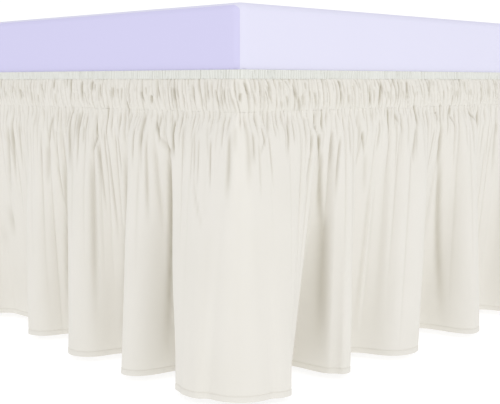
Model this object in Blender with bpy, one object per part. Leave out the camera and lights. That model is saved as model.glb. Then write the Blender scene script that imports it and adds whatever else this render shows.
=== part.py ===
"""A gathered bed skirt on an elastic heading, wrapped round a mattress that stands on a plain base.

Made of: a mattress block, a base slab on four legs, a heading band with an elastic edging along its top,
and a gathered skirt of four widths of cloth that hang from the band. Sizes are in millimetres.
The origin is on the floor under the middle of the bed, +Z up, the long sides along Y, the foot at -Y.
Distances round the bed are measured from the foot corner at +X, positive up the +X long side.
"""

import math
import random

import bpy

MM = 0.001

# The mattress, a single size, and the base that carries it
MATTRESS_WIDTH = 991.0
MATTRESS_LENGTH = 1905.0
MATTRESS_THICKNESS = 152.0
MATTRESS_ROUNDING = 10.0
MATTRESS_ABOVE_HEADING = 76.0
BASE_INSET = 75.0
BASE_THICKNESS = 40.0
BASE_ROUNDING = 4.0
LEG_SIDE = 60.0
LEG_INSET = 25.0
LEG_ROUNDING = 3.0
ROUNDING_SEGMENTS = 3

# The skirt: a 15 inch drop from the top of the heading to the hem
DROP = 381.0
HEM_ABOVE_FLOOR = 8.0
EDGING_HEIGHT = 10.5
HEADING_HEIGHT = 38.3
EDGING_THICKNESS = 2.4
HEADING_THICKNESS = 2.0
CLOTH_THICKNESS = 1.5
SEAT_GAP = 0.3
SEAM_GAP = 1.0
PUFF_OF_HEADING = 1.6
STRAIGHT_EDGE_OF_HEADING = 5.0

# How the gathers grow into folds down the drop
FOLD_PITCH = 141.0
CREST_OUT = (36.0, 48.0)
TROUGH_OUT = (-45.0, -34.0)
PITCH_UNEVENNESS = 0.09
LEAN_UNEVENNESS = 0.06
FLANK_STEEPNESS = 0.55
STRAIGHT_SHARE = 0.02
CREST_GROWTH = 0.75
TROUGHS_FROM = 0.06
CREST_BLEND = 20.0
PUFF = 3.0
PUFF_DEPTH = 0.08
FOLD_SEED = 11
CLOTH_WIDTHS = 4

# Where the meshes have their points: shares of the drop, shares of the way from one row of folds to the
# next, the same beside a corner, and for the bands their steps along the sides and round each corner
LEVELS = (0.0, STRAIGHT_SHARE, 0.08, 0.2, 0.4, 0.68, 1.0)
FLANK_STEPS = (0.0, 0.22, 0.41, 0.59, 0.78)
CORNER_STEPS = (0.0, 0.08, 0.16, 0.25, 0.5, 0.75)
BAND_STEP = 40.0
EDGING_STEP = 60.0
BAND_CORNER_STEPS = 6

# The folds from the crest of the foot corner at +X along each side, a row for each trough, crest or
# shoulder: distance from that crest at the hem and under the heading, then how far out the hem stands
LONG_SIDE_FOLDS = (
    {"at": 33.0, "top": 54.0, "out": 42.0},
    {"at": 53.0, "top": 130.0, "out": 22.0},
    {"at": 80.0, "top": 138.0, "out": -40.0},
    {"at": 120.0, "top": 144.0, "out": -44.0},
    {"at": 134.0, "top": 168.0, "out": 20.0},
    {"at": 150.0, "top": 192.0, "out": 35.0},
    {"at": 196.0, "top": 222.0, "out": -32.0},
    {"at": 286.0, "top": 352.0, "out": 43.0},
    {"at": 354.0, "top": 402.0, "out": -30.0},
    {"at": 390.0, "top": 408.0, "out": -36.0},
    {"at": 434.0, "top": 474.0, "out": 47.0},
    {"at": 518.0, "top": 518.0, "out": -34.0},
    {"at": 560.0, "top": 560.0, "out": -30.0},
    {"at": 604.0, "top": 600.0, "out": 44.0},
)
FOOT_SIDE_FOLDS = (
    {"at": 36.0, "top": 48.0, "out": 46.0},
    {"at": 64.0, "top": 106.0, "out": 40.0},
    {"at": 94.0, "top": 114.0, "out": -38.0},
    {"at": 156.0, "top": 180.0, "out": 48.0},
    {"at": 206.0, "top": 210.0, "out": -30.0},
    {"at": 274.0, "top": 316.0, "out": 43.0},
    {"at": 346.0, "top": 350.0, "out": -32.0},
    {"at": 408.0, "top": 430.0, "out": 24.0},
    {"at": 446.0, "top": 450.0, "out": -32.0},
    {"at": 530.0, "top": 532.0, "out": -30.0},
    {"at": 592.0, "top": 596.0, "out": 36.0},
)
# The other corners stand out as one broad lobe, alike on both sides of its crest
LOBE_CREST = ({"at": 0.0, "top": 0.0, "out": 33.0},)
LOBE_SHOULDERS = (
    {"at": 36.0, "top": 40.0, "out": 46.0},
    {"at": 64.0, "top": 74.0, "out": 38.0},
)

# Heights that follow
HEADING_TOP = HEM_ABOVE_FLOOR + DROP
EDGING_BOTTOM = HEADING_TOP - EDGING_HEIGHT
BAND_TOP = EDGING_BOTTOM - SEAT_GAP
BAND_BOTTOM = BAND_TOP - HEADING_HEIGHT
CLOTH_TOP = BAND_BOTTOM - SEAT_GAP
MATTRESS_TOP = HEADING_TOP + MATTRESS_ABOVE_HEADING
MATTRESS_BOTTOM = MATTRESS_TOP - MATTRESS_THICKNESS
BASE_TOP = MATTRESS_BOTTOM - SEAT_GAP
BASE_BOTTOM = BASE_TOP - BASE_THICKNESS
LEG_TOP = BASE_BOTTOM - SEAT_GAP

# The line that the cloth follows round the mattress
LINE_OUT = SEAT_GAP + HEADING_THICKNESS / 2
HALF_WIDTH = MATTRESS_WIDTH / 2 + LINE_OUT
HALF_LENGTH = MATTRESS_LENGTH / 2 + LINE_OUT
CORNER_RADIUS = MATTRESS_ROUNDING + LINE_OUT
QUARTER_ARC = CORNER_RADIUS * math.pi / 2
LONG_RUN = 2 * (HALF_LENGTH - CORNER_RADIUS)
SHORT_RUN = 2 * (HALF_WIDTH - CORNER_RADIUS)
LONG_SIDE = LONG_RUN + QUARTER_ARC
SHORT_SIDE = SHORT_RUN + QUARTER_ARC
GIRTH = 2 * (LONG_SIDE + SHORT_SIDE)
CORNERS = (0.0, LONG_SIDE, LONG_SIDE + SHORT_SIDE, 2 * LONG_SIDE + SHORT_SIDE, GIRTH)


def clear_scene():
    """Take away whatever the file opens with."""
    for thing in list(bpy.data.objects):
        bpy.data.objects.remove(thing, do_unlink=True)


def material(name, colour, roughness, sheen=0.0):
    """A Principled material of one colour, for cloth and painted wood."""
    made = bpy.data.materials.new(name)
    made.use_nodes = True
    shader = made.node_tree.nodes["Principled BSDF"]
    shader.inputs["Base Color"].default_value = (*colour, 1.0)
    shader.inputs["Roughness"].default_value = roughness
    shader.inputs["Metallic"].default_value = 0.0
    shader.inputs["Sheen Weight"].default_value = sheen
    return made


def rounded_box(name, size, centre, rounding, finish):
    """A box with a Bevel modifier, its sizes in its mesh and its place in its location."""
    half = [side * MM / 2 for side in size]
    corners = [(x * half[0], y * half[1], z * half[2]) for x in (-1, 1) for y in (-1, 1) for z in (-1, 1)]
    faces = [(0, 1, 3, 2), (4, 6, 7, 5), (0, 4, 5, 1), (2, 3, 7, 6), (0, 2, 6, 4), (1, 5, 7, 3)]
    mesh = bpy.data.meshes.new(name)
    mesh.from_pydata(corners, [], faces)
    mesh.materials.append(finish)
    box = bpy.data.objects.new(name, mesh)
    box.location = [place * MM for place in centre]
    bpy.context.scene.collection.objects.link(box)
    bevel = box.modifiers.new("rounding", "BEVEL")
    bevel.width = rounding * MM
    bevel.segments = ROUNDING_SEGMENTS
    return box


def point_on_line(distance):
    """The place on the line, and the direction out of the bed there, at a distance round the bed."""
    left = (distance + QUARTER_ARC / 2) % GIRTH
    heading = -math.pi / 2
    centre = (HALF_WIDTH - CORNER_RADIUS, -HALF_LENGTH + CORNER_RADIUS)
    for run in (LONG_RUN, SHORT_RUN, LONG_RUN, SHORT_RUN):
        turn = heading + min(left, QUARTER_ARC) / CORNER_RADIUS
        out = (math.cos(turn), math.sin(turn))
        travel = max(0.0, min(left - QUARTER_ARC, run))
        centre = (centre[0] - out[1] * travel, centre[1] + out[0] * travel)
        if left <= QUARTER_ARC + run:
            break
        left -= QUARTER_ARC + run
        heading += math.pi / 2
    return (centre[0] + CORNER_RADIUS * out[0], centre[1] + CORNER_RADIUS * out[1]), out


def plain_folds(start, end, chance):
    """Troughs and crests between two crests: uneven in place, depth and lean, about one pitch apart."""
    count = max(1, round((end - start) / FOLD_PITCH))
    pitch = (end - start) / count
    folds = []
    for half in range(1, 2 * count):
        reach = TROUGH_OUT if half % 2 else CREST_OUT
        place = start + (half / 2 + chance.uniform(-PITCH_UNEVENNESS, PITCH_UNEVENNESS)) * pitch
        lean = chance.uniform(-LEAN_UNEVENNESS, LEAN_UNEVENNESS) * pitch
        folds.append({"at": place, "top": place + lean, "out": chance.uniform(*reach)})
    return folds


def before(corner, rows):
    """The rows of one side of a corner, turned round to run up to it."""
    turned = reversed(rows)
    return [{"at": corner - row["at"], "top": corner - row["top"], "out": row["out"]} for row in turned]


def after(corner, rows):
    """The rows of one side of a corner, from its crest on."""
    return [{"at": corner + row["at"], "top": corner + row["top"], "out": row["out"]} for row in rows]


def all_folds():
    """Every fold round the whole bed in order, from the crest of the first corner back to itself."""
    chance = random.Random(FOLD_SEED)
    folds = [*LOBE_CREST, *LONG_SIDE_FOLDS]
    for corner in CORNERS[1:4]:
        folds += plain_folds(folds[-1]["at"], corner - LOBE_SHOULDERS[-1]["at"], chance)
        folds += before(corner, LOBE_SHOULDERS) + after(corner, LOBE_CREST + LOBE_SHOULDERS)
    folds += plain_folds(folds[-1]["at"], GIRTH - FOOT_SIDE_FOLDS[-1]["at"], chance)
    return folds + before(GIRTH, FOOT_SIDE_FOLDS) + after(GIRTH, LOBE_CREST)


def slope_at(folds, number):
    """The hem line's slope at a row: none at a crest or trough, the sides' harmonic mean at a shoulder."""
    count = len(folds) - 1
    here, behind, ahead = folds[number % count], folds[(number - 1) % count], folds[(number + 1) % count]
    rise_in = (here["out"] - behind["out"]) / ((here["at"] - behind["at"]) % GIRTH)
    rise_out = (ahead["out"] - here["out"]) / ((ahead["at"] - here["at"]) % GIRTH)
    if rise_in * rise_out <= 0:
        return 0.0
    return 2 * rise_in * rise_out / (rise_in + rise_out)


def at_corner(fold):
    """Whether this row stands on a corner of the bed."""
    return any(math.isclose(fold["at"], corner) for corner in CORNERS)


def columns_of(folds):
    """The upright lines of the cloth: (index of the fold before it, share of the way to the next fold)."""
    lines = []
    for number, (here, following) in enumerate(zip(folds, folds[1:])):
        if at_corner(here):
            steps = CORNER_STEPS
        elif at_corner(following):
            steps = (0.0, *(1 - step for step in reversed(CORNER_STEPS[1:])))
        else:
            steps = FLANK_STEPS
        lines += [(number, step) for step in steps]
    return lines


def smooth(share):
    """An even start and stop between 0 and 1."""
    share = min(1.0, max(0.0, share))
    return share * share * (3 - 2 * share)


def growth_at(fall):
    """How far the crests and the troughs have grown at a share of the fall.

    The crests swell out straight from the heading, and the troughs only fall in below the mattress.
    """
    return fall**CREST_GROWTH, max(0.0, fall - TROUGHS_FROM) / (1 - TROUGHS_FROM)


def cloth_point(folds, line, share, nudge=0.0):
    """A point of the skirt: a smooth cubic from row to row, leaning down the drop, its flanks steep."""
    number, part = line
    here, following = folds[number], folds[number + 1]
    fall = max(0.0, share - STRAIGHT_SHARE) / (1 - STRAIGHT_SHARE)
    crests, troughs = growth_at(fall)
    span = following["at"] - here["at"]
    swing = here["out"] + (following["out"] - here["out"]) * smooth(part)
    swing += span * slope_at(folds, number) * part * (1 - part) ** 2
    swing -= span * slope_at(folds, number + 1) * part * part * (1 - part)
    steep = FLANK_STEEPNESS * crests * span / (2 * math.pi) * math.sin(2 * math.pi * part)
    top = here["top"] + (following["top"] - here["top"]) * part
    distance = top + (here["at"] + span * part - top) * fall + steep
    place, out = point_on_line(distance + nudge)
    growth = troughs + (crests - troughs) * smooth(0.5 + swing / CREST_BLEND)
    stands = PUFF * smooth(fall / PUFF_DEPTH) + growth * swing
    height = CLOTH_TOP - share * (CLOTH_TOP - HEM_ABOVE_FLOOR)
    return ((place[0] + out[0] * stands) * MM, (place[1] + out[1] * stands) * MM, height * MM)


def sheet(name, rows, closed, thickness, finish):
    """A sheet of cloth from rows of points, top row first, thickened evenly on both sides."""
    wide = len(rows[0])
    points = [point for row in rows for point in row]
    faces = []
    for level in range(len(rows) - 1):
        for column in range(wide if closed else wide - 1):
            here = level * wide + column
            beside = level * wide + (column + 1) % wide
            faces.append((here, here + wide, beside + wide, beside))
    mesh = bpy.data.meshes.new(name)
    mesh.from_pydata(points, [], faces)
    mesh.materials.append(finish)
    mesh.shade_smooth()
    cloth = bpy.data.objects.new(name, mesh)
    bpy.context.scene.collection.objects.link(cloth)
    thicken = cloth.modifiers.new("thickness", "SOLIDIFY")
    thicken.thickness = thickness * MM
    thicken.offset = 0.0
    thicken.use_even_offset = True
    thicken.use_rim = True
    return cloth


def ring_stops(step):
    """Distances round the bed for a band: close together round the corners, a step apart along the sides."""
    stops = []
    start = -QUARTER_ARC / 2
    for run in (LONG_RUN, SHORT_RUN, LONG_RUN, SHORT_RUN):
        for length, count in ((QUARTER_ARC, BAND_CORNER_STEPS), (run, round(run / step))):
            stops += [start + length * number / count for number in range(count)]
            start += length
    return stops


def ring(name, heights_and_outs, stops, thickness, finish):
    """A band of cloth round the bed, with its section given as height and how far out from the line."""
    rows = []
    for height, stands in heights_and_outs:
        row = []
        for stop in stops:
            place, out = point_on_line(stop)
            row.append(((place[0] + out[0] * stands) * MM, (place[1] + out[1] * stands) * MM, height * MM))
        rows.append(row)
    return sheet(name, rows, True, thickness, finish)


def make_mattress(finish):
    """The mattress block that the heading grips."""
    size = (MATTRESS_WIDTH, MATTRESS_LENGTH, MATTRESS_THICKNESS)
    middle = (MATTRESS_TOP + MATTRESS_BOTTOM) / 2
    rounded_box("mattress", size, (0, 0, middle), MATTRESS_ROUNDING, finish)


def make_base(finish):
    """The slab under the mattress and its four legs, all set in behind the skirt."""
    wide, long = MATTRESS_WIDTH - 2 * BASE_INSET, MATTRESS_LENGTH - 2 * BASE_INSET
    middle = (BASE_TOP + BASE_BOTTOM) / 2
    rounded_box("base_slab", (wide, long, BASE_THICKNESS), (0, 0, middle), BASE_ROUNDING, finish)
    reach_x = wide / 2 - LEG_INSET - LEG_SIDE / 2
    reach_y = long / 2 - LEG_INSET - LEG_SIDE / 2
    corners = [(x, y) for y in (-reach_y, reach_y) for x in (-reach_x, reach_x)]
    for number, (x, y) in enumerate(corners, start=1):
        size = (LEG_SIDE, LEG_SIDE, LEG_TOP)
        rounded_box(f"leg_{number}", size, (x, y, LEG_TOP / 2), LEG_ROUNDING, finish)


def make_heading(cloth, elastic):
    """The heading band, full in its middle, and the elastic edging sewn along its top."""
    stops = ring_stops(BAND_STEP)
    edge = STRAIGHT_EDGE_OF_HEADING
    middle = (BAND_TOP + BAND_BOTTOM) / 2
    section = [(BAND_TOP, 0.0), (BAND_TOP - edge, 0.0), (middle, PUFF_OF_HEADING)]
    section += [(BAND_BOTTOM + edge, 0.0), (BAND_BOTTOM, 0.0)]
    ring("heading_band", section, stops, HEADING_THICKNESS, cloth)
    edging_out = (EDGING_THICKNESS - HEADING_THICKNESS) / 2
    stops = ring_stops(EDGING_STEP)
    section = [(HEADING_TOP, edging_out), (EDGING_BOTTOM, edging_out)]
    ring("elastic_edging", section, stops, EDGING_THICKNESS, elastic)


def make_skirt(finish):
    """The gathered skirt, in widths of cloth whose seams lie in the troughs between the corners."""
    folds = all_folds()
    lines = columns_of(folds)
    troughs = [number for number, fold in enumerate(folds) if fold["out"] < 0]
    half_width = GIRTH / CLOTH_WIDTHS / 2
    seams = []
    for width in range(CLOTH_WIDTHS):
        aim = half_width + width * GIRTH / CLOTH_WIDTHS
        seams.append(min(troughs, key=lambda number: abs(folds[number]["at"] - aim)))
    starts = [lines.index((seam, 0.0)) for seam in seams]
    for width in range(CLOTH_WIDTHS):
        first, last = starts[width - 1], starts[width]
        count = (last - first) % len(lines)
        used = [lines[(first + step) % len(lines)] for step in range(count + 1)]
        nudges = [SEAM_GAP / 2] + [0.0] * (count - 1) + [-SEAM_GAP / 2]
        rows = [
            [cloth_point(folds, line, share, nudge) for line, nudge in zip(used, nudges)] for share in LEVELS
        ]
        sheet(f"skirt_width_{width + 1}", rows, False, CLOTH_THICKNESS, finish)


def main():
    """Build the whole bed skirt on its mattress and base."""
    clear_scene()
    ivory = material("ivory brushed polyester", (0.80, 0.785, 0.70), 0.75, 0.3)
    elastic = material("ivory knitted elastic", (0.75, 0.75, 0.66), 0.8, 0.2)
    lavender = material("lavender mattress ticking", (0.66, 0.64, 0.89), 0.85, 0.2)
    wood = material("pale painted wood", (0.72, 0.68, 0.60), 0.6)
    make_mattress(lavender)
    make_base(wood)
    make_heading(ivory, elastic)
    make_skirt(ivory)


main()
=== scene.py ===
"""The looks of a gathered bed skirt round a mattress block: fine folds, puckered heading, cloth and light.

Sizes are in millimetres, as a cloth worker measures, and are turned to metres where a mesh is made.
Distances round the bed run along the heading from the foot corner at +X, positive up the +X long side;
falls are measured down the cloth from the lower stitching of the heading.
"""

import math
import random

import bpy
import numpy as np
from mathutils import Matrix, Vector

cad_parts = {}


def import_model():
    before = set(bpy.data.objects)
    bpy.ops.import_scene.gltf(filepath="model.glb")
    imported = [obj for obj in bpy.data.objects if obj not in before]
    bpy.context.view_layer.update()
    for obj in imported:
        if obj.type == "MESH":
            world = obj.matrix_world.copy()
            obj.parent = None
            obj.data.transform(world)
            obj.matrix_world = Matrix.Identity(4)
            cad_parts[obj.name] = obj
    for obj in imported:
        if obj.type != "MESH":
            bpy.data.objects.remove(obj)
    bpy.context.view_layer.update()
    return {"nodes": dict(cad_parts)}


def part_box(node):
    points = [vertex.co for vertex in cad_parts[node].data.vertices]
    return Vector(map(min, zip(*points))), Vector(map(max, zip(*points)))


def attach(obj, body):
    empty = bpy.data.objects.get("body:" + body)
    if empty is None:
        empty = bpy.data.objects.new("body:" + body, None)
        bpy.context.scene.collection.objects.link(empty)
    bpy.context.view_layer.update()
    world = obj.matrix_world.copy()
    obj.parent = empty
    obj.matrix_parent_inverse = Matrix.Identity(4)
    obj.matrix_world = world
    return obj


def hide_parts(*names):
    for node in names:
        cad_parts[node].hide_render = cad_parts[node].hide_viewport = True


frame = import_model()

MM = 0.001

# The camera: a long lens a good metre from the corner, level with the heading and tipped a little down.
# Its angles are in degrees.
LENS = 68.7
SENSOR = 36.0
CAMERA_AWAY = 1095.0
CAMERA_AZIMUTH = 44.75
CAMERA_ASIDE = 0.6
CAMERA_BELOW_HEADING = 0.68
CAMERA_TIP = 7.23

# The studio: how bright the white room looks and how much it lights, the white paper on the floor, and three
# soft boxes, each so far from the corner in view towards the camera, to the right and up. Powers are watts.
ROOM_SEEN = 1.05
ROOM_LIGHT = 0.72
PAPER_REACH = 6000.0
PAPER_GLOW = 0.82
SOFT_BOXES = (
    {"name": "right box", "near": 1400.0, "right": 2200.0, "up": 1300.0, "size": 300.0, "power": 12.0},
    {"name": "left box", "near": 1400.0, "right": -2200.0, "up": 1300.0, "size": 300.0, "power": 10.0},
    {"name": "front box", "near": 2600.0, "right": 200.0, "up": 1800.0, "size": 1000.0, "power": 12.0},
)

# Sizes that the solids give, and those of theirs that don't show in a box
MATTRESS_LOW, MATTRESS_HIGH = (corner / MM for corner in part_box("mattress"))
EDGING_LOW, EDGING_HIGH = (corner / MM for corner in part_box("elastic_edging"))
SKIRT_LOW, SKIRT_HIGH = (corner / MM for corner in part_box("skirt_width_1"))
MATTRESS_WIDTH = MATTRESS_HIGH.x - MATTRESS_LOW.x
MATTRESS_LENGTH = MATTRESS_HIGH.y - MATTRESS_LOW.y
MATTRESS_ROUNDING = 10.0
SEAT_GAP = 0.3
HEADING_THICKNESS = 2.0
CLOTH_TOP = SKIRT_HIGH.z
DROP = SKIRT_HIGH.z - SKIRT_LOW.z
HEADING_FALL = EDGING_LOW.z - CLOTH_TOP

# The block: how many parts its outline, its rounded edges and its flat faces are drawn in, the angle in
# degrees past which an edge stays sharp, and how far in from each end its painted shade on the end faces
# starts
BLOCK_AROUND = 480
BLOCK_EDGE_STEPS = 8
BLOCK_FACE_RINGS = 10
BLOCK_SHARP_ANGLE = 60
END_SHADE_IN = 3.0

# The line that the cloth follows round the mattress
LINE_OUT = SEAT_GAP + HEADING_THICKNESS / 2
HALF_WIDTH = MATTRESS_WIDTH / 2 + LINE_OUT
HALF_LENGTH = MATTRESS_LENGTH / 2 + LINE_OUT
CORNER_RADIUS = MATTRESS_ROUNDING + LINE_OUT
QUARTER_ARC = CORNER_RADIUS * math.pi / 2
LONG_RUN = 2 * (HALF_LENGTH - CORNER_RADIUS)
SHORT_RUN = 2 * (HALF_WIDTH - CORNER_RADIUS)
LONG_SIDE = LONG_RUN + QUARTER_ARC
SHORT_SIDE = SHORT_RUN + QUARTER_ARC
GIRTH = 2 * (LONG_SIDE + SHORT_SIDE)
CORNERS = (0.0, LONG_SIDE, LONG_SIDE + SHORT_SIDE, 2 * LONG_SIDE + SHORT_SIDE, GIRTH)

# How the main folds grow down the drop, as in the solids: pitch and reach in millimetres, the rest as shares
FOLD_PITCH = 141.0
CREST_OUT = (36.0, 48.0)
TROUGH_OUT = (-45.0, -34.0)
PITCH_UNEVENNESS = 0.09
LEAN_UNEVENNESS = 0.06
FLANK_STEEPNESS = 0.55
STRAIGHT_SHARE = 0.02
CREST_GROWTH = 0.75
TROUGHS_FROM = 0.06
CREST_BLEND = 20.0
PUFF = 3.0
PUFF_DEPTH = 0.08
FOLD_SEED = 11
CLOTH_WIDTHS = 4

# The main folds from the crest of the foot corner along each side, as in the solids: each one's place at the
# hem, its place at the heading, and how far out of the line it stands
LONG_SIDE_FOLDS = (
    {"at": 33.0, "top": 54.0, "out": 42.0},
    {"at": 53.0, "top": 130.0, "out": 22.0},
    {"at": 80.0, "top": 138.0, "out": -40.0},
    {"at": 120.0, "top": 144.0, "out": -44.0},
    {"at": 134.0, "top": 168.0, "out": 20.0},
    {"at": 150.0, "top": 192.0, "out": 35.0},
    {"at": 196.0, "top": 222.0, "out": -32.0},
    {"at": 286.0, "top": 352.0, "out": 43.0},
    {"at": 354.0, "top": 402.0, "out": -30.0},
    {"at": 390.0, "top": 408.0, "out": -36.0},
    {"at": 434.0, "top": 474.0, "out": 47.0},
    {"at": 518.0, "top": 518.0, "out": -34.0},
    {"at": 560.0, "top": 560.0, "out": -30.0},
    {"at": 604.0, "top": 600.0, "out": 44.0},
)
FOOT_SIDE_FOLDS = (
    {"at": 36.0, "top": 48.0, "out": 46.0},
    {"at": 64.0, "top": 106.0, "out": 40.0},
    {"at": 94.0, "top": 114.0, "out": -38.0},
    {"at": 156.0, "top": 180.0, "out": 48.0},
    {"at": 206.0, "top": 210.0, "out": -30.0},
    {"at": 274.0, "top": 316.0, "out": 43.0},
    {"at": 346.0, "top": 350.0, "out": -32.0},
    {"at": 408.0, "top": 430.0, "out": 24.0},
    {"at": 446.0, "top": 450.0, "out": -32.0},
    {"at": 530.0, "top": 532.0, "out": -30.0},
    {"at": 592.0, "top": 596.0, "out": 36.0},
)
LOBE_CREST = ({"at": 0.0, "top": 0.0, "out": 33.0},)
LOBE_SHOULDERS = (
    {"at": 36.0, "top": 40.0, "out": 46.0},
    {"at": 64.0, "top": 74.0, "out": 38.0},
)

# The cloth and its hem, turned up and stitched; half the gap at a seam between widths; the height below the
# block in which the cloth comes free of it; and the angle in degrees past which an edge stays sharp
CLOTH_THICKNESS = 0.9
HEM_STITCH_UP = 7.0
HEM_STITCH_DEPTH = 0.45
HEM_STITCH_WIDTH = 0.9
# The hem's stitching is a groove with a line of painted shade, a share of a valley's full painted shade.
HEM_STITCH_SHADE = 0.2
HEM_EXTRA_THICKNESS = 0.7
HEM_STEP = 2.0
SEAM_HALF_GAP = 0.2
CLEARANCE_FALLS = 12.0
CLOTH_SHARP_ANGLE = 65

# The heading: a casing that its puckers puff up, with an edging of ribbed elastic sewn along its top. The
# puckers are a low relief, so the casing's model holds only a share of the cloth of its flat strip.
BACK_OUT = 0.3
THINNEST = 0.4
CASING_OUT = LINE_OUT + CLOTH_THICKNESS / 2
CASING_PUFF = 2.6
CASING_ROUNDNESS = 0.7
CASING_FULLNESS = 1.8
EDGING_OUT = 1.5
RIBS = {"pitch": 3.2, "high": 2.0, "seed": 31}
RIB_SLANT = {"most": 0.8, "pitch": 9.0, "seed": 61}
EDGING_RIPPLE = {"most": 1.2, "pitch": 14.0, "seed": 62}

# The gathers from the smallest to the widest: their pitch and height, and how their strength runs down the
# cloth, at falls from the edging (negative, in the heading) to far below it
GATHERS = (
    {"pitch": 3.6, "high": 1.3, "falls": (-40, -36, -3, 4, 14), "shares": (0.5, 1, 1, 0.9, 0), "seed": 22},
    {"pitch": 8, "high": 3.4, "falls": (-40, -32, -8, 0, 6), "shares": (0.4, 1, 1, 0.4, 0), "seed": 21},
    {"pitch": 8, "high": 3.2, "falls": (-3, 3, 9, 22), "shares": (0, 1, 1, 0), "seed": 3},
    {"pitch": 14, "high": 4.0, "falls": (2, 10, 26, 70), "shares": (0, 1, 0.6, 0), "seed": 4},
    {"pitch": 27, "high": 5.5, "falls": (8, 40, 100, 230), "shares": (0, 0.8, 0.6, 0), "seed": 5},
)
# The roundness of a gather's crest, the height that lies on the main fold, and the ranges of the gathers'
# widths and sizes
GATHER_ROUNDNESS = 0.75
GATHER_MIDDLE = 0.35
GATHER_WIDTHS = (0.45, 1.55)
GATHER_SIZES = (0.35, 1.0)
# Gathers sway by a share of their pitch, by half of it at a fall of "from", and each is longer or shorter by
# up to a share of its length. Both change over so many pitches.
GATHER_SWAY = {"share": 0.3, "from": 60, "pitches": 5, "seeds_from": 40}
GATHER_LENGTH = {"share": 0.6, "pitches": 2, "seeds_from": 80}
# On the rounded lobe of the corner in view the cloth is almost smooth, and has its gathers again at twice the
# half width
LOBE_CALM = 0.8
LOBE_HALF_WIDTH = 50.0
# Up the heading the gathers lean to lower distances, some more than others, and bow to either side
PUCKER_LEAN = {"mean": 3.5, "spread": 3.5, "pitch": 37.0, "seed": 51}
PUCKER_BOW = {"most": 2.0, "pitch": 23.0, "seed": 52}
# Soft marks from being folded and packed, a pitch apart round the bed and a rise apart down the cloth, which
# are at their full height from a fall of "from"
DRAPE_MARKS = {"high": 1.3, "pitch": 26.0, "rise": 95.0, "from": 120, "seed": 70}

# A crease grows and fades over shares of its length, and is worked out this far to either side. The cloth
# beside it stands up as a lip: a share of the crease's depth, and so many of its widths away and wide.
CREASE_GROWS = 0.2
CREASE_FADES = 0.5
CREASE_REACH = 30.0
LIP_SHARE = 0.35
LIP_AWAY = 2.2
LIP_WIDE = 1.6
# Valleys get painted shade: their cloth is painted a deeper tone there. A crease takes its full painted
# shade from this depth and up to this width. A gather's valley takes a share of that where it lies a hollow's
# depth below the mean of the cloth within a reach to either side.
SHADE_FULL_DEPTH = 2.7
SHADE_FULL_WIDTH = 1.9
GATHER_SHADE_SHARE = 0.46
HOLLOW_DEPTH = 1.5
CASING_HOLLOW_REACH = 3.5
CLOTH_HOLLOW_REACH = 5.0
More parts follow.
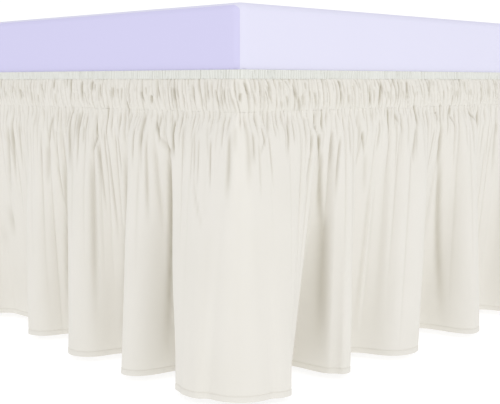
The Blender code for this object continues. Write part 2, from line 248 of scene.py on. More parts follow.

# The creases, listed a row for each: where it starts and ends round the bed, its bow to higher distances,
# its start and end down the cloth, how deep and wide it is, and on which side of it the cloth stands up as a
# lip: -1 towards lower distances, 1 towards higher ones, 0 on neither. One depth is negative, for a ridge.
CREASE_COLUMNS = ("top", "foot", "bow", "from", "to", "deep", "wide", "lip")
CREASES = (
    # in the heading
    (-508, -508, 0, -42, -22, 2.6, 2.2, 1),
    (-474, -474, 0, -38, -20, 2.6, 2.2, 1),
    (-453, -451, 0, -26, -6, 2.6, 2.2, 1),
    (-367, -366, 0, -40, -22, 2.6, 2.2, 1),
    (-328, -324, 0, -44, -4, 2.6, 2.2, 1),
    (-300, -299, 0, -38, -6, 2.6, 2.2, 1),
    (-276, -275, 0, -38, -20, 2.6, 2.2, 1),
    (-201, -199, 0, -12, 10, 2.6, 2.2, 1),
    (-172, -166, 0, -24, -8, 2.6, 2.2, 1),
    (-152, -152, 0, -20, -6, 2.6, 2.2, 1),
    (-143, -133, 0, -40, -8, 2.6, 2.2, 1),
    (-109, -105, 0, -30, -8, 1.8, 1.8, 1),
    (-76, -71, 0, -34, -8, 1.4, 1.8, 1),
    (-51, -46, 0, -40, -8, 1.2, 1.3, 1),
    (-24, -22, 0, -18, -4, 1.2, 1.3, 1),
    (-2, 1, 0, -38, -8, 0.8, 1.2, 1),
    (13, 24, 0, -30, -2, 1.2, 1.3, 1),
    (35, 49, 2, -34, -2, 1.2, 1.3, 1),
    (61, 64, 0, -38, -24, 1.0, 1.3, 1),
    (64, 66, 0, -14, 0, 1.2, 1.3, 1),
    (69, 82, 0, -38, -24, 1.2, 1.3, 1),
    (84, 94, 0, -36, -2, 1.6, 1.3, 1),
    (102, 104, 0, -22, -2, 1.3, 1.6, -1),
    (148, 150, 0, -38, -20, 1.1, 1.5, -1),
    (170, 175, 0, -40, 0, 2.0, 1.8, -1),
    (233, 235, 0, -34, 0, 2.6, 2.2, -1),
    (258, 254, 0, -38, 0, 2.6, 2.2, -1),
    (285, 285, 0, -42, -28, 2.6, 2.2, -1),
    (297, 295, 0, -40, -6, 2.6, 2.2, -1),
    (317, 317, 0, -38, -10, 2.6, 2.2, -1),
    (372, 370, 0, -40, -6, 2.6, 2.2, -1),
    (431, 436, 0, -42, -2, 2.6, 2.2, -1),
    (448, 448, 0, -42, -22, 2.6, 2.2, -1),
    (528, 528, 0, -44, -8, 2.6, 2.2, -1),
    (543, 550, 0, -44, -8, 2.6, 2.2, -1),
    # in the cloth below it
    (-486, -516, 0, 22, 150, 3.2, 5.0, 1),
    (-476, -487, 0, 26, 125, 2.1, 2.6, 1),
    (-508, -545, 0, 160, 215, 3.2, 6.0, 1),
    (-373, -387, 0, 10, 62, 3.2, 3.0, 1),
    (-386, -394, 0, 50, 120, 2.4, 4.5, 1),
    (-362, -369, 0, 30, 80, 1.6, 1.8, 1),
    (-369, -360, 0, 76, 150, 1.3, 2.0, 1),
    (-350, -380, 0, 56, 330, 2.4, 3.0, 0),
    (-325, -319, 0, -6, 90, 3.2, 2.4, 1),
    (-303, -305, 0, 8, 90, 1.6, 2.0, 1),
    (-268, -265, 0, 12, 42, 3.2, 2.2, 1),
    (-264, -278, 0, 34, 60, 2.7, 3.0, 1),
    (-277, -278, 0, 50, 300, 3.0, 5.5, 0),
    (-266, -255, 0, 40, 150, 1.6, 2.2, -1),
    (-243, -249, 0, -8, 48, 3.2, 2.4, 1),
    (-245, -236, 0, 28, 190, 1.6, 2.2, -1),
    (-221, -220, 0, 30, 90, 1.6, 2.0, 1),
    (-192, -199, 0, 2, 80, 3.2, 2.6, 1),
    (-206, -248, 0, 44, 330, 2.4, 3.0, 0),
    (-167, -170, 0, 0, 60, 2.0, 2.2, -1),
    (-160, -157, 0, 30, 150, 1.5, 2.2, -1),
    (-144, -137, 0, 14, 36, 3.2, 2.0, 1),
    (-138, -108, 0, 32, 64, 2.0, 4.0, -1),
    (-147, -140, 0, 34, 170, 1.2, 3.2, -1),
    (-108, -102, 0, 8, 60, 3.0, 1.8, 1),
    (-122, -148, 0, 24, 330, 3.2, 3.0, 0),
    (-88, -82, 0, 8, 70, 0.7, 3.0, 1),
    (-68, -58, 1, 16, 92, 1.0, 1.8, 1),
    (-60, -36, -2, 80, 142, 0.8, 2.4, 1),
    (-47, -38, 0, 14, 60, 0.6, 1.6, 1),
    (-30, -30, 0, 110, 360, 0.6, 9.0, 0),
    (-4, -3, 0, 14, 50, 0.6, 1.6, -1),
    (5, 4, 1, -4, 95, 1.0, 1.6, 1),
    (40, 34, 2, -2, 32, 1.4, 1.8, 1),
    (34, 18, 0, 26, 52, 1.0, 1.8, -1),
    (76, 67, 0, 2, 66, 1.0, 1.6, 1),
    (126, 125, 0, 2, 20, 2.7, 1.6, -1),
    (124, 137, 0, 16, 36, 2.6, 3.0, -1),
    (137, 144, 0, 28, 66, 3.0, 1.4, -1),
    (139, 141, 0, -4, 30, 3.2, 1.8, -1),
    (120, 121, 0, 28, 58, 1.8, 1.8, 1),
    (121, 112, 0, 54, 92, 2.4, 3.6, 0),
    (143, 158, 0, 46, 160, 2.8, 3.0, 0),
    (156, 162, 0, 120, 330, 2.8, 4.0, 0),
    (217, 231, 0, 28, 62, 2.1, 1.6, 1),
    (232, 243, 0, 56, 120, 1.4, 4.0, 0),
    (253, 262, 0, 80, 320, -3.0, 4.0, 0),
    (277, 280, 0, -2, 48, 3.0, 1.8, 1),
    (281, 288, 0, 46, 330, 1.2, 7.0, 0),
    (290, 300, 0, 5, 24, 1.8, 1.8, 1),
    (336, 343, 0, -6, 28, 3.2, 2.2, -1),
    (336, 330, 0, 24, 80, 1.9, 2.4, -1),
    (388, 396, 0, 6, 22, 3.0, 1.8, 1),
    (400, 404, 0, -6, 34, 3.2, 2.4, -1),
    (404, 413, 0, 18, 100, 3.2, 3.0, -1),
    (412, 443, 0, 60, 340, 3.2, 4.0, 0),
    (426, 426, 0, -2, 18, 2.7, 1.8, -1),
    (426, 441, 0, 13, 32, 1.8, 2.0, -1),
    (471, 490, 0, 4, 26, 2.7, 2.0, -1),
    (503, 498, 0, 0, 50, 1.8, 2.0, 1),
    (552, 560, 0, 10, 120, 1.4, 2.6, 1),
)
# More creases are drawn by lot, in the heading and in the cloth below it, in these ranges. They are a pitch
# times a share in LOT_SPACING apart. Lips lie towards the corner in view, but for a share of turned ones.
LOTS = (
    {
        "pitch": 6.0, "seed": 18, "from": (-44.0, -18.0), "long": (10.0, 28.0), "lean": (-0.05, 0.3),
        "bow": (-1.0, 1.0), "deep": (0.6, 1.8), "wide": (0.9, 1.4),
    },
    {
        "pitch": 13.0, "seed": 17, "from": (-4.0, 30.0), "long": (16.0, 90.0), "lean": (-0.1, 0.1),
        "bow": (-1.0, 1.0), "deep": (0.5, 1.7), "wide": (1.3, 2.0),
    },
)
LOT_SPACING = (0.4, 1.6)
TURNED_LIPS = 0.2

# Round the bed the meshes have their points close together about the corner in view, and the rings start
# beyond it. Down the cloth the rows are given as (from, to, how many): close together below the stitching,
# above all on the width in view, and at the hem.
NEAR = {"reach": 260.0, "step": 0.72}
SEEN = {"reach": 590.0, "step": 1.2}
FAR_STEP = 2.6
RING_START_BEYOND = 40.0
HEM_FALLS = ((316, 323, 1), (323, 326, 4), (326, 331.6, 1))
FINE_FALLS = ((0, 24, 7), (24, 64, 10), (64, 150, 7), (150, 316, 6), *HEM_FALLS)
PLAIN_FALLS = ((0, 24, 6), (24, 60, 5), (60, 150, 7), (150, 316, 7), *HEM_FALLS)
BAND_ROWS = 21
EDGING_ROWS = 4

# The size of one patch, thread or streak of each finish. Threads and felt are drawn coarser than they are,
# because real ones are too fine to show.
CLOTH_PATCH = 110.0
SKIRT_THREAD = 1.1
ELASTIC_THREAD = 0.9
TICKING_PATCH = 200.0
TICKING_FELT = 1.4
PINE_GRAIN = {"wide": 17.0, "long": 250.0}


def on_line(distance):
    """Places on the line round the bed and the directions out of it: a quarter arc and a run, four times."""
    left = np.mod(distance + QUARTER_ARC / 2, GIRTH)
    x, y, out_x, out_y = (np.zeros_like(left) for _ in range(4))
    heading, centre, start = -math.pi / 2, (HALF_WIDTH - CORNER_RADIUS, -HALF_LENGTH + CORNER_RADIUS), 0.0
    for run in (LONG_RUN, SHORT_RUN, LONG_RUN, SHORT_RUN):
        here = (left >= start) & (left <= start + QUARTER_ARC + run)
        turn = heading + np.minimum(left[here] - start, QUARTER_ARC) / CORNER_RADIUS
        travel = np.clip(left[here] - start - QUARTER_ARC, 0.0, run)
        out_x[here], out_y[here] = np.cos(turn), np.sin(turn)
        x[here] = centre[0] - out_y[here] * travel + CORNER_RADIUS * out_x[here]
        y[here] = centre[1] + out_x[here] * travel + CORNER_RADIUS * out_y[here]
        heading += math.pi / 2
        centre = (centre[0] - math.sin(heading) * run, centre[1] + math.cos(heading) * run)
        start += QUARTER_ARC + run
    return np.stack((x, y), -1), np.stack((out_x, out_y), -1)


def plain_folds(start, end, chance):
    """Troughs and crests between two crests: uneven in place, depth and lean, about one pitch apart."""
    count = max(1, round((end - start) / FOLD_PITCH))
    pitch = (end - start) / count
    folds = []
    for half in range(1, 2 * count):
        reach = TROUGH_OUT if half % 2 else CREST_OUT
        place = start + (half / 2 + chance.uniform(-PITCH_UNEVENNESS, PITCH_UNEVENNESS)) * pitch
        lean = chance.uniform(-LEAN_UNEVENNESS, LEAN_UNEVENNESS) * pitch
        folds.append({"at": place, "top": place + lean, "out": chance.uniform(*reach)})
    return folds


def before(corner, rows):
    """The rows of one side of a corner, turned round to run up to it."""
    return [
        {"at": corner - row["at"], "top": corner - row["top"], "out": row["out"]} for row in reversed(rows)
    ]


def after(corner, rows):
    """The rows of one side of a corner, from its crest on."""
    return [{"at": corner + row["at"], "top": corner + row["top"], "out": row["out"]} for row in rows]


def all_folds():
    """Every main fold round the whole bed in order, from the crest of the first corner back to itself."""
    chance = random.Random(FOLD_SEED)
    folds = [*LOBE_CREST, *LONG_SIDE_FOLDS]
    for corner in CORNERS[1:4]:
        folds += plain_folds(folds[-1]["at"], corner - LOBE_SHOULDERS[-1]["at"], chance)
        folds += before(corner, LOBE_SHOULDERS) + after(corner, LOBE_CREST + LOBE_SHOULDERS)
    folds += plain_folds(folds[-1]["at"], GIRTH - FOOT_SIDE_FOLDS[-1]["at"], chance)
    return folds + before(GIRTH, FOOT_SIDE_FOLDS) + after(GIRTH, LOBE_CREST)


FOLDS = all_folds()
FOLD_AT, FOLD_TOP, FOLD_OUT = (np.array([fold[key] for fold in FOLDS]) for key in ("at", "top", "out"))


def fold_slopes():
    """The hem line's slope at each row: none at a crest or trough, the harmonic mean of its sides between."""
    rises = np.diff(FOLD_OUT) / np.diff(FOLD_AT)
    rise_in, rise_out = np.append(rises[-1], rises), np.append(rises, rises[0])
    same_way = rise_in * rise_out > 0
    total = np.where(same_way, rise_in + rise_out, 1.0)
    return np.where(same_way, 2 * rise_in * rise_out / total, 0.0)


FOLD_SLOPE = fold_slopes()


def smooth(share):
    """An even start and stop between 0 and 1: 3 t squared less 2 t cubed."""
    share = np.clip(share, 0.0, 1.0)
    return share * share * (3 - 2 * share)


def main_folds(place, fall):
    """The cloth's middle layer on its main folds, for arrays of heading distance and fall.

    From row to row the hem stands out along a cubic, pushed along the line so that the flanks are steep.
    The crests swell out straight from the heading, with the fall to the power CREST_GROWTH, and the troughs
    only fall in below the mattress, evenly.
    """
    share = fall / DROP
    along = np.mod(place, GIRTH)
    number = np.clip(np.searchsorted(FOLD_TOP, along, side="right") - 1, 0, len(FOLDS) - 2)
    part = (along - FOLD_TOP[number]) / (FOLD_TOP[number + 1] - FOLD_TOP[number])
    grown = np.maximum(0.0, share - STRAIGHT_SHARE) / (1 - STRAIGHT_SHARE)
    crests = grown**CREST_GROWTH
    troughs = np.maximum(0.0, grown - TROUGHS_FROM) / (1 - TROUGHS_FROM)
    span = FOLD_AT[number + 1] - FOLD_AT[number]
    swing = FOLD_OUT[number] + (FOLD_OUT[number + 1] - FOLD_OUT[number]) * smooth(part)
    swing += span * FOLD_SLOPE[number] * part * (1 - part) ** 2
    swing -= span * FOLD_SLOPE[number + 1] * part * part * (1 - part)
    steep = FLANK_STEEPNESS * crests * span / (2 * math.pi) * np.sin(2 * math.pi * part)
    distance = along + (FOLD_AT[number] + span * part - along) * grown + steep
    line, out = on_line(distance)
    growth = troughs + (crests - troughs) * smooth(0.5 + swing / CREST_BLEND)
    stands = PUFF * smooth(grown / PUFF_DEPTH) + growth * swing
    return np.concatenate((line + out * stands[..., None], (CLOTH_TOP - fall)[..., None]), -1)


def gathers(place, pitch, seed):
    """Gathers side by side round the bed, heights 0 to 1: a rounded crest between two valleys.

    The height is the sine of pi t to the power GATHER_ROUNDNESS, t the share of the way between the valleys,
    times the gather's own size; widths and sizes are uneven.
    """
    chance = np.random.default_rng(seed)
    count = round(GIRTH / pitch)
    valleys = np.concatenate(([0.0], np.cumsum(chance.uniform(*GATHER_WIDTHS, count))))
    valleys *= GIRTH / valleys[-1]
    sizes = chance.uniform(*GATHER_SIZES, count)
    along = np.mod(place, GIRTH)
    number = np.clip(np.searchsorted(valleys, along, side="right") - 1, 0, count - 1)
    part = (along - valleys[number]) / (valleys[number + 1] - valleys[number])
    return sizes[number] * np.sin(np.pi * np.clip(part, 0.0, 1.0)) ** GATHER_ROUNDNESS


def wander(place, pitch, seed):
    """A slow uneven swing between -1 and 1 round the bed: random values a pitch apart, joined smoothly."""
    count = round(GIRTH / pitch)
    values = np.random.default_rng(seed).uniform(-1.0, 1.0, count)
    along = np.mod(place, GIRTH) / GIRTH * count
    number = np.floor(along).astype(int) % count
    part = smooth(along - np.floor(along))
    return values[number] * (1 - part) + values[(number + 1) % count] * part


def drape_marks(place, fall, pitch, rise, seed):
    """Soft marks across the cloth between -1 and 1: random values on a net, joined smoothly.

    The net's rows are a rise apart, its values in a row a pitch, and each row is a third of that further on.
    """
    level = np.clip(fall / rise, 0.0, None)
    below = np.floor(level)
    part = smooth(level - below)
    marks = np.zeros_like(fall)
    for row in range(int(below.max()) + 2):
        weight = np.where(below == row, 1 - part, np.where(below == row - 1, part, 0.0))
        marks += weight * wander(place + row * pitch / 3, pitch, seed + row)
    return marks


def normals_of(points):
    """Unit normals of a grid of points whose rows run down and whose columns run round the bed: outwards."""
    down, beside = np.gradient(points, axis=0), np.gradient(points, axis=1)
    normal = np.cross(down, beside)
    return normal / np.maximum(np.linalg.norm(normal, axis=-1, keepdims=True), 1e-9)


def crease(place, fall, row):
    """One crease: the depth of its bell-shaped valley, and the height of the lip beside it.

    The bell is e to the power of minus the square of how many widths a point is from the crease's middle,
    which is a leaning, bowed line. The lip is a lower, wider bell beside it.
    """
    share = (fall - row["from"]) / (row["to"] - row["from"])
    down = np.clip(share, 0.0, 1.0)
    middle = row["top"] + (row["foot"] - row["top"]) * down + row["bow"] * np.sin(math.pi * down)
    away = (place - middle) / row["wide"]
    strength = row["deep"] * smooth(share / CREASE_GROWS) * smooth((1 - share) / CREASE_FADES)
    lip = abs(row["lip"]) * LIP_SHARE * np.exp(-(((away - LIP_AWAY * row["lip"]) / LIP_WIDE) ** 2))
    return strength * np.exp(-(away ** 2)), strength * lip


def all_creases():
    """The creases listed in CREASES, and those drawn by lot round the bed."""
    rows = [dict(zip(CREASE_COLUMNS, row)) for row in CREASES]
    drawn = ("from", "long", "lean", "bow", "deep", "wide")
    for lot in LOTS:
        chance = random.Random(lot["seed"])
        place = -GIRTH / 2
        while place < GIRTH / 2:
            row = {name: chance.uniform(*lot[name]) for name in drawn}
            row["to"] = row["from"] + row["long"]
            row["top"], row["foot"] = place, place + row["lean"] * row["long"]
            row["lip"] = math.copysign(1, -place if chance.random() > TURNED_LIPS else place)
            rows.append(row)
            place += lot["pitch"] * chance.uniform(*LOT_SPACING)
    return rows


CREASE_ROWS = all_creases()


def hollows(around, stands, reach):
    """How deep each point lies in a valley, 0 to 1: how far below its row's mean height within the reach.

    The mean comes from the running area under the row, read at both ends of the reach.
    """
    strips = (stands[:, 1:] + stands[:, :-1]) / 2 * np.diff(around)
    area = np.concatenate((np.zeros((len(stands), 1)), np.cumsum(strips, axis=1)), axis=1)
    left, right = np.maximum(around - reach, around[0]), np.minimum(around + reach, around[-1])
    means = [(np.interp(right, around, row) - np.interp(left, around, row)) / (right - left) for row in area]
    return np.clip((np.stack(means) - stands) / HOLLOW_DEPTH, 0.0, 1.0)


def relief(around, fall, reach):
    """How far the fine folds stand out, and how much painted shade their valleys take, from 0 to 1.

    Heading distances come in a row and falls on the whole grid, negative in the heading, so that a gather or
    a crease runs through its stitching. The gathers of each pitch sway and lean, and each is longer or
    shorter than the next. Creases and soft drape marks are added to them.
    """
    place = np.broadcast_to(around, fall.shape)
    up = np.clip(-fall / HEADING_FALL, 0.0, 1.0)
    lean = PUCKER_LEAN["spread"] * wander(place, PUCKER_LEAN["pitch"], PUCKER_LEAN["seed"])
    lean = (PUCKER_LEAN["mean"] + lean) * up
    lean += PUCKER_BOW["most"] * wander(place, PUCKER_BOW["pitch"], PUCKER_BOW["seed"]) * np.sin(math.pi * up)
    below = np.maximum(fall, 0.0)
    calm = 1 - LOBE_CALM * smooth(2 - np.abs(place) / LOBE_HALF_WIDTH) * smooth(fall / HEADING_FALL)
    stands, painted_valley_shade = np.zeros_like(fall), np.zeros_like(fall)
    for row in GATHERS:
        pitch, seed = row["pitch"], row["seed"]
        sway = wander(place, GATHER_SWAY["pitches"] * pitch, seed + GATHER_SWAY["seeds_from"])
        sway *= GATHER_SWAY["share"] * pitch * below / (below + GATHER_SWAY["from"])
        length = wander(place, GATHER_LENGTH["pitches"] * pitch, seed + GATHER_LENGTH["seeds_from"])
        length = 1 + GATHER_LENGTH["share"] * length
        strength = np.interp(np.where(fall > 0, fall * length, fall), row["falls"], row["shares"])
        stands += row["high"] * strength * calm * (gathers(place + lean + sway, pitch, seed) - GATHER_MIDDLE)
    marks = drape_marks(place, below, DRAPE_MARKS["pitch"], DRAPE_MARKS["rise"], DRAPE_MARKS["seed"])
    stands += DRAPE_MARKS["high"] * marks * smooth(below / DRAPE_MARKS["from"])
    for row in CREASE_ROWS:
        for turn in (-GIRTH, 0.0, GIRTH):  # a crease counts once round the bed, wherever the distances start
            low, high = sorted((row["top"] + turn, row["foot"] + turn))
            first, last = np.searchsorted(around, (low - CREASE_REACH, high + CREASE_REACH))
            valley, lip = crease(place[:, first:last] - turn, fall[:, first:last], row)
            stands[:, first:last] += lip - valley
            # painted shade in the crease's valley: its cloth is painted a deeper tone
            painted_valley_shade[:, first:last] += valley / SHADE_FULL_DEPTH * min(1.0, SHADE_FULL_WIDTH / row["wide"])
    # a gather's valley takes a share of painted shade by how deep it lies
    painted_valley_shade = np.maximum(painted_valley_shade, GATHER_SHADE_SHARE * hollows(around, stands, reach))
    return stands, np.clip(painted_valley_shade, 0.0, 1.0)


def falls_of(stretches):
    """Falls from (from, to, how many) rows, the last one on the hem's edge."""
    parts = [np.linspace(start, end, steps, endpoint=False) for start, end, steps in stretches]
    falls = np.append(np.concatenate(parts), stretches[-1][1])
    return falls * DROP / falls[-1]


def grid_faces(rows, columns, first, closed, flip):
    """Corner numbers of the quads of a grid of points, wrapped round where it is closed."""
    number = first + np.arange(rows * columns).reshape(rows, columns)
    beside = np.roll(number, -1, 1)
    last = columns if closed else columns - 1
    quads = np.stack((number[:-1], number[1:], beside[1:], beside[:-1]), -1)[:, :last]
    return quads[..., ::-1].reshape(-1, 4) if flip else quads.reshape(-1, 4)


def piece(name, points, quads, flat_places, painted_valley_shade, finish):
    """A mesh object of quads; flat_places gives each corner its place on the flat cloth, in millimetres.

    The attribute keeps for each point how much painted shade its valley takes, for the finish to read.
    """
    mesh = bpy.data.meshes.new(name)
    mesh.vertices.add(len(points))
    mesh.vertices.foreach_set("co", (points * MM).astype(np.float32).ravel())
    mesh.loops.add(quads.size)
    mesh.loops.foreach_set("vertex_index", quads.astype(np.int32).ravel())
    mesh.polygons.add(len(quads))
    mesh.polygons.foreach_set("loop_start", np.arange(0, quads.size, 4, dtype=np.int32))
    mesh.update(calc_edges=True)
    layer = mesh.uv_layers.new(name="cloth")
    layer.uv.foreach_set("vector", (flat_places * MM).astype(np.float32).ravel())
    layer = mesh.attributes.new("painted_valley_shade", "FLOAT", "POINT")
    layer.data.foreach_set("value", painted_valley_shade.astype(np.float32))
    mesh.validate()
    mesh.shade_smooth()
    mesh.set_sharp_from_angle(angle=math.radians(CLOTH_SHARP_ANGLE))
    mesh.materials.append(finish)
    made = bpy.data.objects.new(name, mesh)
    bpy.context.scene.collection.objects.link(made)
    return made


def shell(name, front, back, painted_valley_shade, beside, below, closed, finish):
    """A sheet with a thickness, from a front and a back grid of points, with rims along its edges.

    Rows run down and columns round the bed; beside and below are their places on the flat cloth. A closed
    sheet is a ring: beside then has one place more, where it meets its start, and its back may have its top
    and bottom rows alone.
    """
    rows, columns = front.shape[:2]
    points = np.concatenate((front.reshape(-1, 3), back.reshape(-1, 3)))
    top = np.arange(columns)
    end = top + (rows - 1) * columns
    inner = rows * columns
    low = inner + (len(back) - 1) * columns + top
    rims = [np.stack((top, np.roll(top, -1), np.roll(top, -1) + inner, top + inner), -1)]
    rims += [np.stack((np.roll(end, -1), end, low, np.roll(low, -1)), -1)]
    if not closed:
        rims = [rim[:-1] for rim in rims]
        left = np.arange(rows) * columns
        right = left + columns - 1
        rims += [np.stack((left[:-1], left[:-1] + inner, left[1:] + inner, left[1:]), -1)]
        rims += [np.stack((right[1:], right[1:] + inner, right[:-1] + inner, right[:-1]), -1)]
    quads = np.concatenate((
        grid_faces(rows, columns, 0, closed, False),
        grid_faces(len(back), columns, inner, closed, True),
        *rims,
    ))
    across = np.tile(beside[:columns], rows + len(back))
    below_back = below if len(back) == rows else below[[0, -1]]
    down = np.repeat(np.concatenate((-below, -below_back)), columns)
    flat = np.stack((across[quads], down[quads]), -1)
    if closed:
        whole = beside[-1] - beside[0]
        wrapped = flat[..., 0].max(1, keepdims=True) - flat[..., 0] > whole / 2
        flat[..., 0] += np.where(wrapped, whole, 0.0)
    return piece(name, points, quads, flat, np.append(painted_valley_shade, np.zeros(back.size // 3)), finish)


def seams():
    """The rows whose troughs hold the seams between the widths, one nearest each quarter of the way round."""
    troughs = [number for number, fold in enumerate(FOLDS) if fold["out"] < 0]
    quarter = GIRTH / CLOTH_WIDTHS
    aims = [quarter / 2 + width * quarter for width in range(CLOTH_WIDTHS)]
    return [min(troughs, key=lambda number: abs(FOLDS[number]["at"] - aim)) for aim in aims]


def places_between(start, end):
    """Heading distances from start to end, close together about the corner in view."""
    marks = [start, -SEEN["reach"], -NEAR["reach"], NEAR["reach"], SEEN["reach"], end]
    steps = (FAR_STEP, SEEN["step"], NEAR["step"], SEEN["step"], FAR_STEP)
    parts = []
    for low, high, step in zip(marks, marks[1:], steps):
        low, high = max(low, start), min(high, end)
        if high > low:
            parts.append(np.linspace(low, high, max(1, round((high - low) / step)), endpoint=False))
    return np.append(np.concatenate(parts), end)


def clear_of_mattress(points):
    """Push points of the cloth's middle that are beside the mattress out until its back clears it.

    The distance is from a rounded outline: how far a place is beyond the outline's corner centres, less its
    rounding. The push is straight out of the nearer side.
    """
    half = np.array([MATTRESS_WIDTH / 2 - MATTRESS_ROUNDING, MATTRESS_LENGTH / 2 - MATTRESS_ROUNDING])
    beyond = np.abs(points[..., :2]) - half
    outside = np.maximum(beyond, 0.0)
    span = np.linalg.norm(outside, axis=-1, keepdims=True)
    distance = span + np.minimum(beyond.max(-1, keepdims=True), 0.0) - MATTRESS_ROUNDING
    away = np.where(span > 0, outside / np.maximum(span, 1e-6), beyond == beyond.max(-1, keepdims=True))
    beside = smooth((points[..., 2:] - MATTRESS_LOW.z + CLEARANCE_FALLS) / CLEARANCE_FALLS)
    push = np.maximum(0.0, CLOTH_THICKNESS / 2 + SEAT_GAP - distance) * beside
    return np.concatenate((points[..., :2] + np.sign(points[..., :2]) * away * push, points[..., 2:]), -1)


def make_width(number, start, end, finish):
    """One width of the skirt from seam to seam, its front and back half a cloth's thickness from the middle.

    The first width is the one in view, so it has the finer rows.
    """
    around = places_between(start + SEAM_HALF_GAP, end - SEAM_HALF_GAP)
    falls = falls_of(FINE_FALLS if number == 1 else PLAIN_FALLS)
    fall, place = np.meshgrid(falls, around, indexing="ij")
    past_stitch = fall - (DROP - HEM_STITCH_UP)
    stitch = np.exp(-(past_stitch / HEM_STITCH_WIDTH) ** 2)
    stands, painted_valley_shade = relief(around, fall, CLOTH_HOLLOW_REACH)
    stands -= HEM_STITCH_DEPTH * stitch
    # painted shade along the hem's stitching groove
    painted_valley_shade = np.maximum(painted_valley_shade, HEM_STITCH_SHADE * stitch)
    middle = main_folds(place, fall)
    middle += normals_of(middle) * stands[..., None]
    middle = clear_of_mattress(middle)
    thickness = CLOTH_THICKNESS + HEM_EXTRA_THICKNESS * smooth(past_stitch / HEM_STEP)
    half = normals_of(middle) * thickness[..., None] / 2
    steps = np.linalg.norm(np.diff(middle[-1], axis=0), axis=-1)
    along_hem = np.concatenate(([0.0], np.cumsum(steps)))
    name = f"gathered_width_{number}"
    made = shell(name, middle + half, middle - half, painted_valley_shade, along_hem, falls, False, finish)
    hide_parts(f"skirt_width_{number}")
    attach(made, "root")
    return made


def make_skirt(finish):
    """The four widths of the skirt."""
    tops = [FOLDS[number]["top"] for number in seams()]
    starts = [tops[-1] - GIRTH, *tops[:-1]]
    for number, (start, end) in enumerate(zip(starts, tops), start=1):
        make_width(number, start, end, finish)


def ring_places():
    """Heading distances round the whole bed, close together about the corner in view, from beyond it on."""
    start = -SEEN["reach"] - RING_START_BEYOND
    return places_between(start, start + GIRTH)[:-1]


def band(place, height, out):
    """Points of a band round the bed for arrays of heading distance, height and reach out of the mattress."""
    line, away = on_line(place)
    return np.concatenate((line + away * (out - LINE_OUT)[..., None], height[..., None]), -1)


def ring(name, around, front, painted_valley_shade, fullness, finish):
    """A ring round the bed from its front's places, heights and reaches, with a flat back on the mattress.

    Laid flat, its cloth is longer than the way round the bed by the fullness.
    """
    place, height, _ = front
    back = band(place[[0, -1]], height[[0, -1]], np.full((2, len(around)), BACK_OUT))
    beside = np.append(around, around[0] + GIRTH) * fullness
    return shell(name, band(*front), back, painted_valley_shade, beside, height[0, 0] - height[:, 0], True, finish)


def make_casing(finish):
    """The puckered casing: the gathers of the heading between its two stitch lines, on a slight puff.

    The puff is the sine of pi t to the power CASING_ROUNDNESS, t the share of the way down.
    """
    around = ring_places()
    share, place = np.meshgrid(np.linspace(0.0, 1.0, BAND_ROWS), around, indexing="ij")
    stands, painted_valley_shade = relief(around, (share - 1) * HEADING_FALL, CASING_HOLLOW_REACH)
    out = CASING_OUT + CASING_PUFF * np.sin(math.pi * share) ** CASING_ROUNDNESS + stands
    front = (place, EDGING_LOW.z - share * HEADING_FALL, np.maximum(out, BACK_OUT + THINNEST))
    made = ring("heading_band_casing", around, front, painted_valley_shade, CASING_FULLNESS, finish)
    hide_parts("heading_band")
    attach(made, "root")
    return made


def make_edging(finish):
    """The elastic edging: fine uneven ribs, some aslant, across a flat strip that ripples at its foot."""
    around = ring_places()
    share, place = np.meshgrid(np.linspace(0.0, 1.0, EDGING_ROWS), around, indexing="ij")
    slant = RIB_SLANT["most"] * wander(place, RIB_SLANT["pitch"], RIB_SLANT["seed"]) * (share - 0.5)
    out = EDGING_OUT + RIBS["high"] * gathers(place + slant, RIBS["pitch"], RIBS["seed"])
    out += EDGING_RIPPLE["most"] * wander(place, EDGING_RIPPLE["pitch"], EDGING_RIPPLE["seed"]) * share
    out = np.maximum(out, BACK_OUT + THINNEST)
    high = EDGING_HIGH.z - EDGING_LOW.z
    front = (place, EDGING_HIGH.z - share * high, out)
    # the ribs' valleys take painted shade
    made = ring("ribbed_elastic_edging", around, front, hollows(around, out, RIBS["pitch"]), 1.0, finish)
    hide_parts("elastic_edging")
    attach(made, "root")
    return made


def linear(colour):
    """A hex colour as the linear red, green and blue that the shaders take."""
    shares = [int(colour[start:start + 2], 16) / 255 for start in (1, 3, 5)]
    return tuple(
        share / 12.92 if share <= 0.04045 else ((share + 0.055) / 1.055) ** 2.4 for share in shares
    )


def per_metre(size):
    """How many times a size in millimetres goes into a metre: the scale of a pattern of that size."""
    return 1.0 / (size * MM)


def add_node(tree, kind, links=(), **settings):
    """Add a node, set its values or properties by name, and link (from socket, to input) pairs to it."""
    node = tree.nodes.new(kind)
    for name, value in settings.items():
        if name in node.inputs.keys():
            node.inputs[name].default_value = value
        else:
            setattr(node, name, value)
    for source, target in links:
        tree.links.new(source, node.inputs[target])
    return node


def new_material(name):
    """A new material, its node tree and its shader."""
    made = bpy.data.materials.new(name)
    made.use_nodes = True
    shader = made.node_tree.nodes["Principled BSDF"]
    return made, made.node_tree, shader


